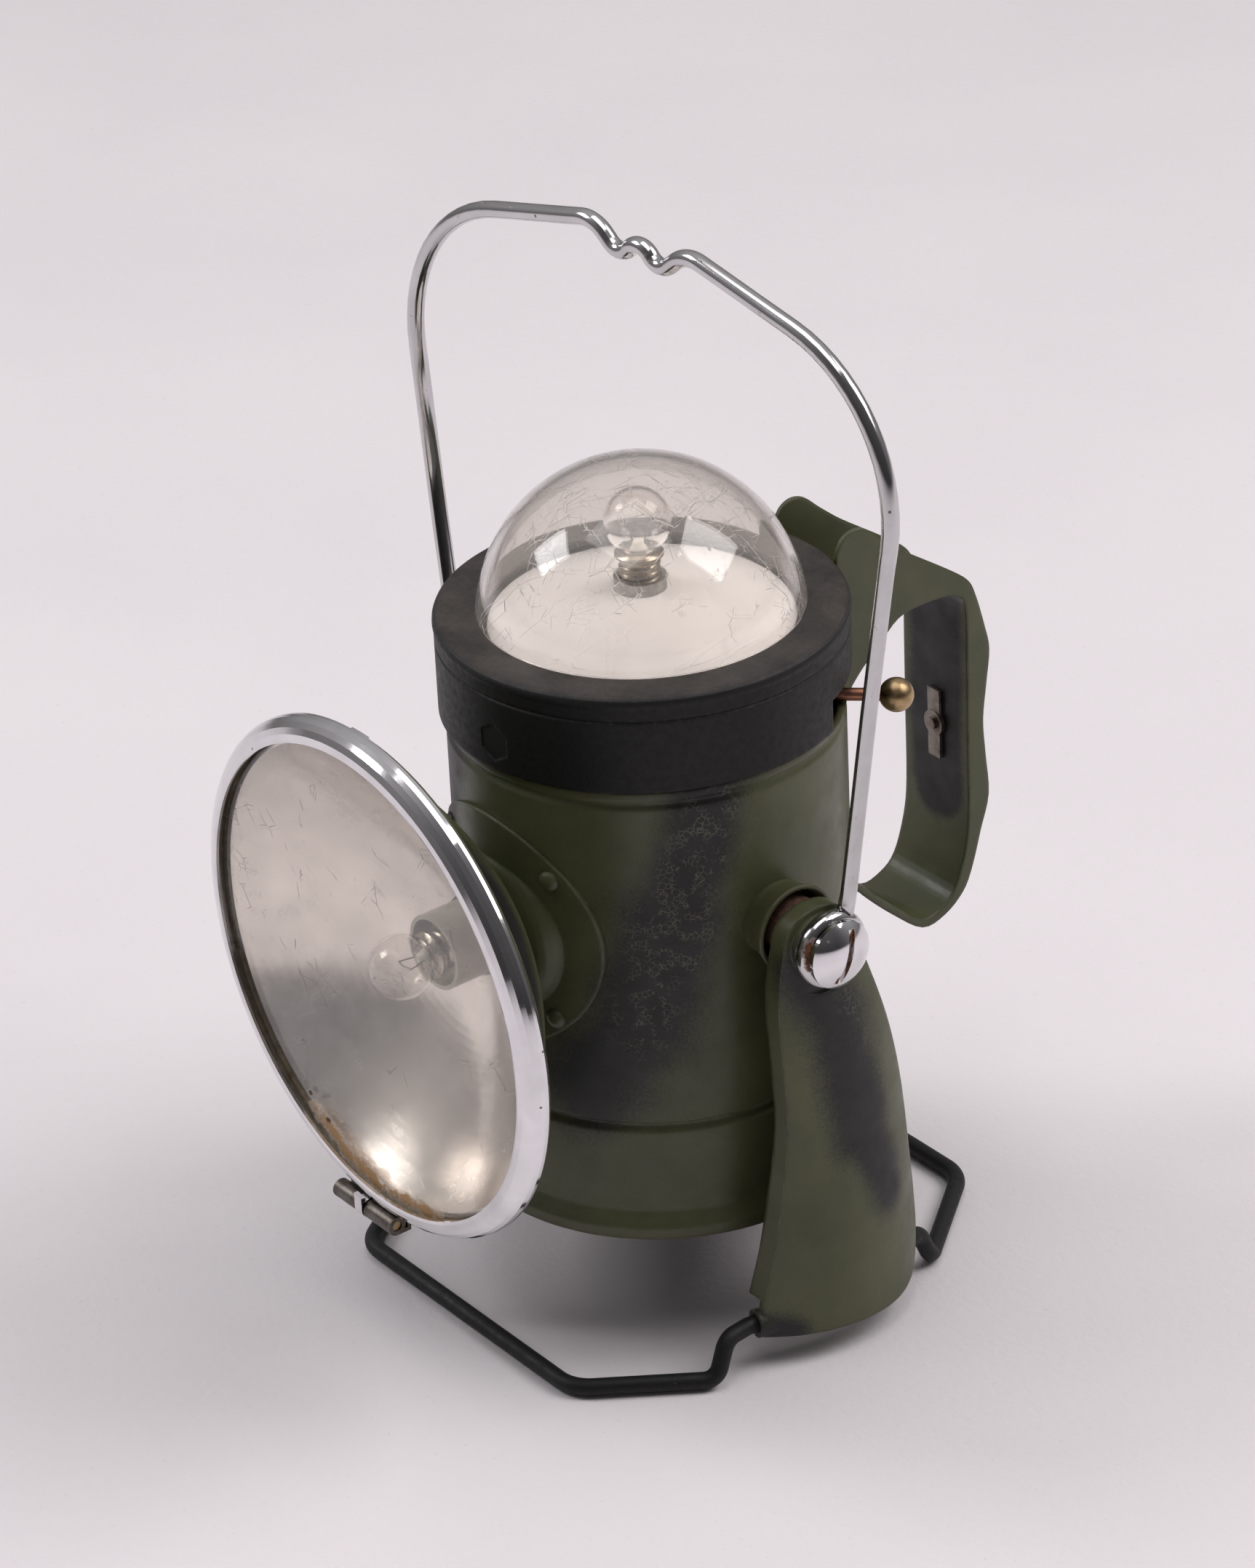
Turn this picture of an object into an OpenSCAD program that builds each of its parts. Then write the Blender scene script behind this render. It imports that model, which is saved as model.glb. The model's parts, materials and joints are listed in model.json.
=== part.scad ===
/* [Body] */
// Height of the tilt and bail axis above the floor
pivot_z = 105.3; // [104:0.1:107]
// Outer radius of the cylindrical body wall
body_r = 45.3; // [45:0.1:45.5]
// Height of the flared foot edge of the body
body_bottom = 28; // [27:0.5:29]
// Wall thickness of the body sheet
body_wall = 0.9; // [0.8:0.1:1]

/* [Cap and dome] */
// Outer radius of the black cap
cap_r = 47; // [46.8:0.1:47.4]
// Height of the cap's lower edge
cap_bottom = 143.9; // [143.5:0.1:144.2]
// Height of the cap's top face
cap_top = 167.2; // [166.8:0.1:167.6]
// Outer radius of the glass dome
dome_r = 37.45; // [37.3:0.05:37.6]
// Height of the dome's sphere centre
dome_z = 163.6; // [163.4:0.1:163.8]

/* [Headlight] */
// Height of the headlight axis at the bezel
lamp_z = 100.2; // [100:0.1:101]
// Distance from the body axis to the bezel's rear edge
lamp_y = 77; // [76.8:0.1:77.4]
// Outer radius of the bezel
bezel_r = 62.3; // [62:0.1:62.6]
// Downward droop of the headlight in degrees
lamp_droop = 1.1; // [0.8:0.1:1.4]

/* [Stand] */
// Radius of the foot wire
wire_r = 2.05; // [2:0.05:2.1]
// Outward splay of the side arms in degrees
arm_splay = 3.4; // [3:0.1:3.8]

/* [Bail] */
// Twist of the bail about the vertical in degrees
bail_twist = 5; // [4:0.5:6]
// Backward lean of the resting bail in degrees
bail_lean = 1.4; // [1:0.1:2]

/* [Switch] */
// Direction of the switch lever, counted from the right side towards the back
lever_angle = 47; // [45:1:49]

/* [Hidden] */
$fn = 96;
eps = 0.01;
olive = [0.33, 0.35, 0.24];
black = [0.09, 0.09, 0.09];
chrome = [0.8, 0.8, 0.82];
steel = [0.55, 0.55, 0.57];
brass = [0.72, 0.55, 0.3];
copper = [0.6, 0.35, 0.24];
brown = [0.32, 0.2, 0.14];
white = [0.92, 0.91, 0.88];
rubber = [0.14, 0.13, 0.12];
clear = [0.85, 0.9, 0.92, 0.35];

sheet = 1;
fit_gap = 0.05;
lap = 0.15;
slim = 0.01;
shank_r = 4.1;
plug_r = 43.8;
plug_top = 158;
lamp_hole_r = 12;
hub_bore_r = 12.6;
rivet_x = 18.2;
rivet_z = 17.8;
flange_z = 101.3;
cell_w = 62;
cell_t = 21.5;
cell_h = 66;
cell_z = 31.5;

function unit(v) = v / norm(v);
function cat(p, i) = let(n = len(p)) p[min(max(i, 0), n - 1)];
function spline_at(p, i, t) =
    let(a = cat(p, i - 1), b = cat(p, i), c = cat(p, i + 1), d = cat(p, i + 2))
    0.5 * (2 * b + (c - a) * t + (2 * a - 5 * b + 4 * c - d) * t * t
        + (3 * b - a - 3 * c + d) * t * t * t);
function spline(p, n) = concat(
    [for (i = [0:len(p) - 2]) for (k = [0:n - 1]) spline_at(p, i, k / n)],
    [p[len(p) - 1]]
);
function side_step(p, d) = [
    for (i = [0:len(p) - 1])
        let(t = unit(cat(p, i + 1) - cat(p, i - 1))) p[i] + d * [t[1], -t[0]]
];
function backwards(p) = [for (i = [len(p) - 1:-1:0]) p[i]];

// Round bar between two points
module rod(a, b, r) {
    v = b - a;
    translate(a)
        rotate([0, acos(v[2] / norm(v)), atan2(v[1], v[0])])
            cylinder(h = norm(v), r = r);
}

// Round bend from the leg a-b into the leg b-c
module elbow(a, b, c, r, bend) {
    u = unit(b - a);
    v = unit(c - b);
    turn = acos(u * v);
    reach = bend * tan(turn / 2);
    m = unit(v - u * (u * v));
    n = cross(u, m);
    centre = b - u * reach + m * bend;
    tip = acos(n[2]);
    yaw = atan2(n[1], n[0]);
    x1 = [cos(tip) * cos(yaw), cos(tip) * sin(yaw), -sin(tip)];
    y1 = [-sin(yaw), cos(yaw), 0];
    translate(centre)
        rotate([0, tip, yaw])
            rotate([0, 0, atan2(-m * y1, -m * x1)])
                rotate_extrude(angle = turn)
                    translate([bend, 0])
                        circle(r = r, $fn = 32);
}

function bend_reach(a, b, c, bend) = bend * tan(acos(unit(b - a) * unit(c - b)) / 2);

// Bent wire through the points p, with a bend radius at each point but the two ends.
// The straights are a hair thinner than the bends and run a little into them.
module bent_wire(p, bends, r) {
    last = len(p) - 1;
    for (i = [1:last - 1])
        elbow(p[i - 1], p[i], p[i + 1], r, bends[i - 1]);
    for (i = [0:last - 1]) {
        u = unit(p[i + 1] - p[i]);
        start = i == 0 ? 0 : bend_reach(p[i - 1], p[i], p[i + 1], bends[i - 1]) - lap;
        stop = i == last - 1 ? 0 : bend_reach(p[i], p[i + 1], p[i + 2], bends[i]) - lap;
        rod(p[i] + u * start, p[i + 1] - u * stop, r - slim);
    }
}

// Wire that follows a list of straights [0, length] and arcs [radius, signed angle].
// Every second piece is a hair thinner and runs a little into its neighbours.
module run_wire(steps, i, r) {
    if (i < len(steps)) {
        s = steps[i];
        thin = i % 2 == 0;
        extra = thin ? lap : 0;
        radius = thin ? r - slim : r;
        if (s[0] == 0) {
            translate([-extra, 0, 0])
                rotate([0, 90, 0])
                    cylinder(h = s[1] + 2 * extra, r = radius, $fn = 32);
            translate([s[1], 0, 0])
                run_wire(steps, i + 1, r);
        } else {
            side = sign(s[1]);
            grow = extra / s[0] * 180 / PI;
            sweep = abs(s[1]) + 2 * grow;
            translate([0, side * s[0], 0])
                rotate([0, 0, (side > 0 ? -90 : 90 + s[1]) - grow])
                    rotate_extrude(angle = sweep)
                        translate([s[0], 0])
                            circle(r = radius, $fn = 32);
            translate([0, side * s[0], 0])
                rotate([0, 0, s[1]])
                    translate([0, -side * s[0], 0])
                        run_wire(steps, i + 1, r);
        }
    }
}

// Places children with +Z along the headlight axis, pointing forward from the bezel's rear edge
module at_lamp() {
    translate([0, -lamp_y, lamp_z])
        rotate([90 + lamp_droop, 0, 0])
            children();
}

// Places children with +Z along +X at the pivot height
module at_pivot(x) {
    translate([x, 0, pivot_z])
        rotate([0, 90, 0])
            children();
}

module other_side() {
    mirror([1, 0, 0])
        children();
}

module body_shell() {
    flare = 2;
    color(olive)
        difference() {
            rotate_extrude()
                polygon([
                    [body_r + flare - body_wall, body_bottom],
                    [body_r + flare, body_bottom],
                    [body_r + flare, body_bottom + 2.5],
                    [body_r + 1.3, body_bottom + 4],
                    [body_r + 0.3, body_bottom + 6.5],
                    [body_r, body_bottom + 9],
                    [body_r, 55.2], [body_r - 0.6, 56.2], [body_r - 1, 57.2], [body_r, 58.2],
                    [body_r, 138.6], [body_r - 0.7, 140], [body_r, 141.4],
                    [body_r, 142.8], [body_r - 0.4, 143.2],
                    [plug_r, 143.4], [plug_r, plug_top], [plug_r - body_wall, plug_top],
                    [plug_r - body_wall, 142.4],
                    [body_r - body_wall, 141],
                    [body_r - body_wall - 0.7, 140], [body_r - body_wall, 139],
                    [body_r - body_wall, 58.8],
                    [body_r - body_wall - 1, 57.6], [body_r - body_wall - 0.6, 55.9],
                    [body_r - body_wall, 54.8],
                    [body_r - body_wall, body_bottom + 9],
                    [body_r - body_wall + 0.3, body_bottom + 6.2],
                    [body_r + flare - body_wall, body_bottom + 2.5]
                ]);
            at_lamp()
                translate([0, 0, -60])
                    cylinder(h = 40, r = lamp_hole_r);
            for (side = [0, 180])
                rotate([0, 0, side])
                    at_pivot(38)
                        cylinder(h = 12, r = 8.2);
            lever_slot(141.9, 148.2, 25.5, 43, 36, 50);
            at_rivets()
                cylinder(h = 60, r = 1.05);
            for (z = rivet_heights)
                translate([0, 0, z])
                    rotate([-90, 0, 0])
                        cylinder(h = 60, r = 1.55);
        }
}

// Places children with +Z pointing out of the body at each rivet of the headlight flange
module at_rivets() {
    for (sx = [-1, 1], sz = [-1, 1])
        translate([0, 0, flange_z + sz * rivet_z])
            rotate([90, 0, sx * asin(rivet_x / (body_r + 1))])
                children();
}

// Ring sector centred on the switch lever
module lever_slot(low, high, from, sweep, r1, r2) {
    rotate([0, 0, from])
        translate([0, 0, low])
            rotate_extrude(angle = sweep)
                translate([r1, 0])
                    square([r2 - r1, high - low]);
}

module base_plate() {
    color(black)
        translate([0, 0, body_bottom + 0.4])
            difference() {
                union() {
                    cylinder(h = 1.4, r = body_r + 1.05);
                    cylinder(h = 3, r = 30);
                }
                translate([0, 0, -eps])
                    cylinder(h = 1.6, r = 28.6);
            }
}

// Pressed cup that carries the pivot screw, with a hole for the shank in its floor
module pivot_cup() {
    at_pivot(0)
        rotate_extrude()
            polygon([
                [shank_r + fit_gap, 44.6], [8.1, 44.6], [8.1, 43.4], [9, 43.4],
                [9, 46.8], [10, 50.6], [10.4, 51.6], [10.4, 52.3], [9.6, 52.5],
                [8.8, 50.8], [8.1, 47], [8.1, 46], [shank_r + fit_gap, 46]
            ]);
}

module pivot_cup_right() {
    color(olive)
        pivot_cup();
}

module pivot_cup_left() {
    color(olive)
        other_side()
            pivot_cup();
}

module chassis_plate() {
    color(brown)
        translate([0, 0, 136])
            difference() {
                cylinder(h = 1.6, r = 42.6);
                translate([0, -30, -eps])
                    cylinder(h = 2, r = 5);
                translate([12, 12, -eps])
                    cylinder(h = 2, r = 1.6);
            }
}

module centre_post() {
    color(steel)
        translate([0, 0, 137.6]) {
            cylinder(h = 3.2, r = 6.5);
            cylinder(h = 24.4, r = 3.9);
        }
}

module dome_reflector() {
    bowl_r = 94;
    rim_r = 34.8;
    rim_z = 164.6;
    drop = sqrt(bowl_r * bowl_r - rim_r * rim_r);
    color(white)
        difference() {
            intersection() {
                translate([0, 0, rim_z - drop])
                    sphere(r = bowl_r, $fn = 180);
                translate([0, 0, rim_z])
                    cylinder(h = 8, r = rim_r);
            }
            translate([0, 0, rim_z - drop])
                sphere(r = bowl_r - 0.8, $fn = 180);
            translate([0, 0, rim_z - 1])
                cylinder(h = 12, r = 6.05);
        }
}

module dome_socket() {
    color(steel)
        translate([0, 0, 162])
            difference() {
                cylinder(h = 12, r = 6);
                translate([0, 0, 2])
                    cylinder(h = 12, r = 4.8);
            }
}

module bulb_cap() {
    difference() {
        union() {
            cylinder(h = 9.4, r = 4.7);
            translate([0, 0, 8.6])
                cylinder(h = 0.8, r = 5.6);
            translate([0, 0, -1])
                cylinder(h = 1, r = 1.6);
            for (z = [1.4, 3.2, 5, 6.8])
                translate([0, 0, z])
                    rotate_extrude()
                        translate([4.7, 0])
                            circle(r = 0.05, $fn = 12);
        }
        translate([0, 0, 7])
            cylinder(h = 4, r = 3.7);
    }
}

module bulb_glass() {
    difference() {
        union() {
            translate([0, 0, 9.4])
                sphere(r = 7.6);
            cylinder(h = 6, r = 3.6);
        }
        translate([0, 0, 9.4])
            sphere(r = 7);
        translate([0, 0, 0.6])
            cylinder(h = 6, r = 3);
    }
}

module dome_bulb_base() {
    color(brass)
        translate([0, 0, 170.2])
            bulb_cap();
}

module dome_bulb() {
    color(clear)
        translate([0, 0, 177.8])
            bulb_glass();
}

// Raised hub of the flange as [radius, distance forward] from the bezel's rear edge
hub_line = [
    [hub_bore_r, -46], [20.8, -46], [20.5, -34.5], [20.1, -33.1], [19.3, -31.7], [18.1, -30.5],
    [16.7, -29.6], [15.4, -29], [14.9, -28.4], [14.9, -27.4], [hub_bore_r, -27.4]
];

module headlight_flange() {
    color(olive)
        difference() {
            union() {
                intersection() {
                    translate([0, -20, flange_z + 0.4])
                        rotate([90, 0, 0])
                            cylinder(h = 40, r = 28.6);
                    cylinder(h = 160, r = body_r + 1);
                }
                at_lamp()
                    rotate_extrude()
                        polygon(hub_line);
            }
            translate([0, 0, -1])
                cylinder(h = 162, r = body_r + 0.02);
            at_lamp()
                translate([0, 0, -60])
                    cylinder(h = 50, r = hub_bore_r);
            at_rivets()
                cylinder(h = 60, r = 1.05);
        }
}

module flange_rivets() {
    color(olive)
        at_rivets() {
            translate([0, 0, body_r + 1.02])
                intersection() {
                    translate([0, 0, -1.6])
                        sphere(r = 3, $fn = 32);
                    cylinder(h = 3, r = 3);
                }
            translate([0, 0, body_r - 1.8])
                cylinder(h = 3.2, r = 1);
            translate([0, 0, body_r - 1.8])
                cylinder(h = 0.8, r = 1.9);
        }
}

// Outline of the headlight bowl as [radius, distance forward] from the bezel's rear edge
function bowl(depth, from, to, n) = [
    for (i = [0:n])
        let(r = from + (to - from) * i / n)
            [r, -30 + depth + r * r / 112]
];

module headlight_shell() {
    color(olive)
        at_lamp()
            rotate_extrude()
                polygon(concat(
                    bowl(0, 15, 56.6, 24),
                    [[57.4, -1.2], [61, -1.2], [61, -0.4], [57.2, -0.4]],
                    backwards(bowl(0.95, 15, 56, 24))
                ));
}

module reflector() {
    color(chrome)
        at_lamp()
            rotate_extrude()
                polygon(concat(
                    bowl(1.6, 9.6, 55.3, 24),
                    [[56.4, -0.3], [57.6, -0.2], [57.6, 0.3], [56.1, 0.3]],
                    backwards(bowl(2.2, 9.6, 54.9, 24))
                ));
}

module bulb_holder() {
    color(steel)
        at_lamp()
            translate([0, 0, -34])
                difference() {
                    union() {
                        cylinder(h = 18, r = 9);
                        translate([0, 0, 3.2])
                            cylinder(h = 1, r = hub_bore_r - 0.05);
                    }
                    translate([0, 0, 13])
                        cylinder(h = 10, r = 8);
                    translate([0, 0, 6])
                        cylinder(h = 20, r = 4.85);
                }
}

module headlight_bulb_base() {
    color(brass)
        at_lamp()
            translate([0, 0, -24])
                bulb_cap();
}

module headlight_bulb() {
    color(clear)
        at_lamp()
            translate([0, 0, -16.4])
                bulb_glass();
}

module lens_gasket() {
    color(rubber)
        at_lamp()
            difference() {
                translate([0, 0, -0.4])
                    cylinder(h = 1.2, r = 60.6);
                translate([0, 0, -1])
                    cylinder(h = 3, r = 57.8);
            }
}

hinge_y = 1.2;
hinge_z = -65.1;
tube_from = -8.7;
tube_to = 1.4;
curl_from = -11.8;
plate_from = -20.8;
plate_to = -12.1;
leaf_y = 1.65;
leaf_t = 0.9;

// Places children with +Z along the bezel's hinge axis, starting at the side position x
module at_hinge(x) {
    translate([x, -lamp_y - hinge_y, lamp_z + hinge_z])
        rotate([0, 90, 0])
            children();
}

// Rolled hinge tube on the fixed leaf, from one side position to another
module leaf_tube(from, to) {
    difference() {
        union() {
            at_hinge(from)
                cylinder(h = to - from, r = 2.3);
            translate([from, -lamp_y + leaf_y, lamp_z + hinge_z - 2.3])
                cube([to - from, leaf_t, 6.5]);
            translate([from, -lamp_y - hinge_y, lamp_z + hinge_z - 2.3])
                cube([to - from, hinge_y + leaf_y + leaf_t, 1]);
        }
        at_hinge(from - 1)
            cylinder(h = to - from + 2, r = 1.25);
    }
}

module hinge_tube() {
    color(steel) {
        leaf_tube(tube_from, tube_to);
        leaf_tube(plate_from, plate_to);
        translate([plate_from, -lamp_y + leaf_y, lamp_z + hinge_z + 2])
            cube([tube_to - plate_from, leaf_t, 5]);
    }
}

module hinge_pin() {
    color(brass)
        at_hinge(plate_from - 0.6)
            cylinder(h = tube_to - plate_from + 0.2, r = 1.2);
}

module bezel_knuckles() {
    tube_len = tube_from - curl_from - 0.3;
    color(chrome) {
        at_hinge(curl_from)
            difference() {
                cylinder(h = tube_len, r = 2.5);
                translate([0, 0, -1])
                    cylinder(h = tube_len + 2, r = 1.25);
            }
        difference() {
            translate([curl_from, -lamp_y - 3.7, lamp_z + hinge_z])
                cube([tube_len, 1.1, 5.2]);
            at_lamp()
                translate([0, 0, -2])
                    cylinder(h = 12, r = bezel_r + 0.02);
        }
    }
}

module bezel() {
    color(chrome)
        at_lamp()
            rotate_extrude()
                polygon([
                    [bezel_r - 0.9, 0.1], [bezel_r, 0.1], [bezel_r, 0.9],
                    [bezel_r - 0.25, 2], [bezel_r - 0.9, 3.1], [bezel_r - 2, 4.1],
                    [bezel_r - 3.4, 4.8], [bezel_r - 4.7, 5.1], [bezel_r - 5.4, 4.9],
                    [bezel_r - 5.4, 4.2], [bezel_r - 4.6, 4.2], [bezel_r - 3.6, 3.9],
                    [bezel_r - 2.5, 3.4], [bezel_r - 1.6, 2.6], [bezel_r - 1.1, 1.7]
                ]);
}

module lens() {
    color(clear)
        at_lamp()
            translate([0, 0, 1.1])
                cylinder(h = 2, r = 59.6);
}

module bezel_catch() {
    sweep = 6;
    color(chrome)
        at_lamp()
            rotate([0, 0, 90 - sweep / 2])
                rotate_extrude(angle = sweep)
                    translate([bezel_r - 0.9, -0.9])
                        square([0.5, 1]);
}

module cap() {
    color(black)
        difference() {
            rotate_extrude()
                polygon([
                    [cap_r - 1.1, cap_bottom], [cap_r - 0.2, cap_bottom],
                    [cap_r - 0.2, cap_top - 6.2], [cap_r - 0.5, cap_top - 5.9],
                    [cap_r - 0.5, cap_top - 5.6], [cap_r - 0.2, cap_top - 5.3],
                    [cap_r - 0.2, cap_top - 2.6], [cap_r + 0.05, cap_top - 2],
                    [cap_r, cap_top - 1.3],
                    [cap_r - 0.3, cap_top - 0.6], [cap_r - 0.9, cap_top - 0.15],
                    [cap_r - 1.8, cap_top], [dome_r - 0.2, cap_top],
                    [dome_r - 0.2, cap_top - 0.9], [cap_r - 1.8, cap_top - 0.9],
                    [cap_r - 1.1, cap_top - 1.8]
                ]);
            lever_slot(cap_bottom - 1, 151.5, 25.5, 43, 40, 50);
            rotate([0, 0, -83])
                translate([cap_r + 0.9, 0, 150.5])
                    rotate([0, 90, 0])
                        translate([0, 0, -1.4])
                            cylinder(h = 2, r = 4.6, $fn = 6);
        }
}

module dome() {
    glass = 1.8;
    color(clear)
        difference() {
            union() {
                translate([0, 0, dome_z])
                    sphere(r = dome_r, $fn = 128);
                translate([0, 0, cap_top - 3.2])
                    cylinder(h = 2.2, r = 41);
            }
            translate([0, 0, dome_z])
                sphere(r = dome_r - glass, $fn = 128);
            translate([0, 0, cap_top - 3.2 - 90])
                cylinder(h = 90, r = 60);
            translate([0, 0, cap_top - 4])
                cylinder(h = 4, r = 35.45);
            difference() {
                translate([0, 0, cap_top - 1])
                    cylinder(h = 1.2, r = 50);
                translate([0, 0, cap_top - 2])
                    cylinder(h = 3, r = dome_r - 0.4);
            }
        }
}

module dome_gasket() {
    color(rubber)
        translate([0, 0, cap_top - 4.8])
            difference() {
                cylinder(h = 1.5, r = 42);
                translate([0, 0, -1])
                    cylinder(h = 4, r = 36);
            }
}

module dome_retainer() {
    color(steel)
        translate([0, 0, cap_top - 6])
            difference() {
                cylinder(h = 1.1, r = cap_r - 1.2);
                translate([0, 0, -1])
                    cylinder(h = 3, r = 36.4);
            }
}

lever_z = 144;

module switch_hub() {
    color(brown)
        translate([0, 0, lever_z - 2])
            difference() {
                cylinder(h = 4.6, r = 9);
                translate([0, 0, -1])
                    cylinder(h = 7, r = 3.9 + fit_gap);
                rotate([0, 0, lever_angle])
                    translate([4.5, 0, 2])
                        rotate([0, 90, 0])
                            cylinder(h = 8, r = 1.5);
            }
}

module switch_rod() {
    color(copper)
        rotate([0, 0, lever_angle])
            translate([4.6, 0, lever_z])
                rotate([0, 90, 0])
                    cylinder(h = 48.6, r = 1.5);
}

module switch_ball() {
    color(brass)
        rotate([0, 0, lever_angle])
            translate([56.6, 0, lever_z])
                difference() {
                    sphere(r = 4);
                    rotate([0, -90, 0])
                        translate([0, 0, 3.4])
                            cylinder(h = 4, r = 1.5);
                }
}

// Profile of the handle's web, listed as [distance behind the axis, height]
web_line = spline([
    [46.6, 112], [46.6, 124], [49.4, 130.5], [53.6, 135.4], [58.6, 139.6], [64.6, 144.6],
    [71, 145.8], [79, 145.4], [83.6, 143.6], [85.2, 139],
    [85.2, 124], [85.1, 104], [85, 86], [83.8, 76.5], [80.6, 67.4], [76.2, 63.6],
    [70, 62.6], [62.5, 68.6], [53, 77.6], [47.6, 83.4], [46.6, 90], [46.6, 100]
], 4);
// Free edge of the handle's side walls
wall_line = spline([
    [46.9, 128], [46.9, 146], [46.9, 164], [48.2, 169.2], [51.6, 171.4], [55.8, 170.6],
    [60.4, 166.6], [67.3, 161], [79.6, 152.4], [85.6, 147.6], [88, 143], [90.7, 133.8],
    [92, 127.4], [91, 119], [89.8, 109.4], [90.4, 100], [91.2, 89], [88.6, 80.2],
    [85.8, 71.2], [82.8, 65.4], [77, 61.2], [70, 60.4], [61, 67.4], [52.8, 75.4],
    [46.8, 82.6]
], 4);
web_w = 21;
rivet_heights = [95, 117];

// Places a profile drawn as [distance behind the axis, height] so that it is extruded along X
module side_profile(width) {
    translate([-width / 2, 0, 0])
        rotate([90, 0, 90])
            linear_extrude(width)
                children();
}

module strap_handle() {
    color(olive)
        difference() {
            union() {
                side_profile(web_w)
                    polygon(concat(web_line, backwards(side_step(web_line, -1))));
                for (side = [-1, 1])
                    translate([side * (web_w + 1) / 2, 0, 0])
                        side_profile(sheet + eps)
                            polygon(concat(
                                wall_line,
                                backwards([for (p = web_line) if (p[0] > 46.9) p])
                            ));
            }
            for (z = rivet_heights)
                translate([0, 40, z])
                    rotate([-90, 0, 0])
                        cylinder(h = 12, r = 1.6);
            translate([0, 80, 106])
                rotate([-90, 0, 0])
                    cylinder(h = 12, r = 1.6);
        }
}

module handle_rivets() {
    color(olive)
        for (z = rivet_heights)
            translate([0, 0, z])
                rotate([-90, 0, 0]) {
                    translate([0, 0, 43.4])
                        cylinder(h = 4.6, r = 1.5);
                    translate([0, 0, 46.65])
                        intersection() {
                            translate([0, 0, -1.6])
                                sphere(r = 3, $fn = 32);
                            cylinder(h = 3, r = 3);
                        }
                }
}

module handle_clip() {
    color(steel) {
        translate([0, 84.95, 106])
            rotate([90, 0, 0]) {
                cylinder(h = 1, r = 3.2);
                translate([0, 0, -1.2])
                    cylinder(h = 3, r = 1.5);
            }
        difference() {
            translate([-2.1, 84.2, 97])
                cube([4.2, 0.75, 18]);
            translate([0, 80, 106])
                rotate([-90, 0, 0])
                    cylinder(h = 12, r = 1.55);
        }
    }
}

module battery() {
    cube([cell_w, cell_t, cell_h]);
    translate([16, cell_t / 2 - 3, cell_h])
        cube([6, 6, 0.5]);
    translate([40, cell_t / 2 - 3, cell_h])
        cube([6, 6, 0.5]);
}

module battery_front() {
    color(brass)
        translate([-cell_w / 2, -cell_t - 0.4, cell_z + 1.6])
            battery();
}

module battery_rear() {
    color(brass)
        translate([-cell_w / 2, 0.4, cell_z + 1.6])
            battery();
}

module battery_tray() {
    color(steel)
        translate([-cell_w / 2 - 1.4, -cell_t - 1.8, cell_z])
            difference() {
                cube([cell_w + 2.8, cell_t * 2 + 3.6, 30]);
                translate([1.1, 1.1, 1.3])
                    cube([cell_w + 0.6, cell_t * 2 + 1.4, 40]);
            }
}

module contact_strip() {
    color(brass) {
        translate([-18, -13, cell_z + cell_h + 2.1])
            cube([6, 26, 0.6]);
        translate([7, -13, cell_z + cell_h + 2.1])
            cube([6, 26, 0.6]);
    }
}

module headlight_wire() {
    color(rubber)
        rod([10, -14, cell_z + cell_h + 3], [6, -34.4, lamp_z + 3], 0.9);
}

module dome_wire() {
    color(rubber)
        rod([12, 12, cell_z + cell_h + 2.95], [12, 12, 140.6], 0.9);
}

// Side outline of an arm as [distance behind the pivot, height]; g draws it in by that much
function arm_front(g) = spline([
    [-9.2 + g, 106], [-10.4 + g, 100], [-11.4 + g, 90], [-11.2 + g, 74], [-11.4 + g, 60],
    [-13.6 + g, 44], [-16 + g, 29], [-18.6 + g, 16], [-19.4 + g, 8 + g]
], 3);
function arm_rear(g) = spline([
    [9.2 - g, 106], [12.2 - g, 97], [16.4 - g, 86], [20.2 - g, 75], [23.6 - g, 62],
    [25.6 - g, 50], [27.2 - g, 37], [28.8 - g, 24], [28.6 - g, 16 + g / 2],
    [24.6 - g * 0.7, 8.6 + g * 0.7], [19 - g, 6.4 + g], [12, 6.2 + g]
], 3);

module arm_side(g) {
    translate([40, 0, 0])
        rotate([90, 0, 90])
            linear_extrude(40) {
                polygon(concat(backwards(arm_front(g)), arm_rear(g)));
                translate([0, pivot_z])
                    circle(r = 9.4 - g);
            }
}

arm_curve = 36;
arm_face = 61.6;

// Solid bounded outside by the arm's curved face, drawn in by d
module arm_body(d) {
    translate([0, 0, pivot_z])
        rotate([0, -arm_splay, 0])
            translate([arm_face - arm_curve, 3.5, -pivot_z - 12])
                cylinder(h = pivot_z + 40, r = arm_curve - d);
}

// Foot wire corners of the right half, front to back
foot_points = [
    [39.8, -59.4, wire_r], [58.9, -32.6, wire_r], [57.7, -28.4, 10.8], [56.8, -21.4, 10.8],
    [63.4, 6, 10.8], [52.6, 32.6, 10.8], [52.4, 36.6, wire_r], [30.2, 64.4, wire_r]
];

module arm() {
    along = unit(foot_points[4] - foot_points[3]);
    barrel_a = foot_points[3] + along * 1.8;
    barrel_b = barrel_a + along * 22;
    difference() {
        union() {
            intersection() {
                arm_side(0);
                difference() {
                    arm_body(0);
                    arm_body(1.3);
                }
            }
            intersection() {
                difference() {
                    arm_side(0);
                    arm_side(1.3);
                }
                difference() {
                    arm_body(0);
                    arm_body(4.4);
                }
                translate([0, -50, 17])
                    cube([100, 100, 120]);
            }
            at_pivot(56.8)
                cylinder(h = 4.6, r = 7.8);
            rod(barrel_a, barrel_b, 3.4);
        }
        at_pivot(50)
            cylinder(h = 30, r = shank_r + 0.02);
        rod(foot_points[3] - along * 4, foot_points[4] + along * 4, wire_r + 0.02);
        at_pivot(61.4)
            cylinder(h = 8, r = 12);
    }
}

module arm_right() {
    color(olive)
        arm();
}

module arm_left() {
    color(olive)
        other_side()
            arm();
}

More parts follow.
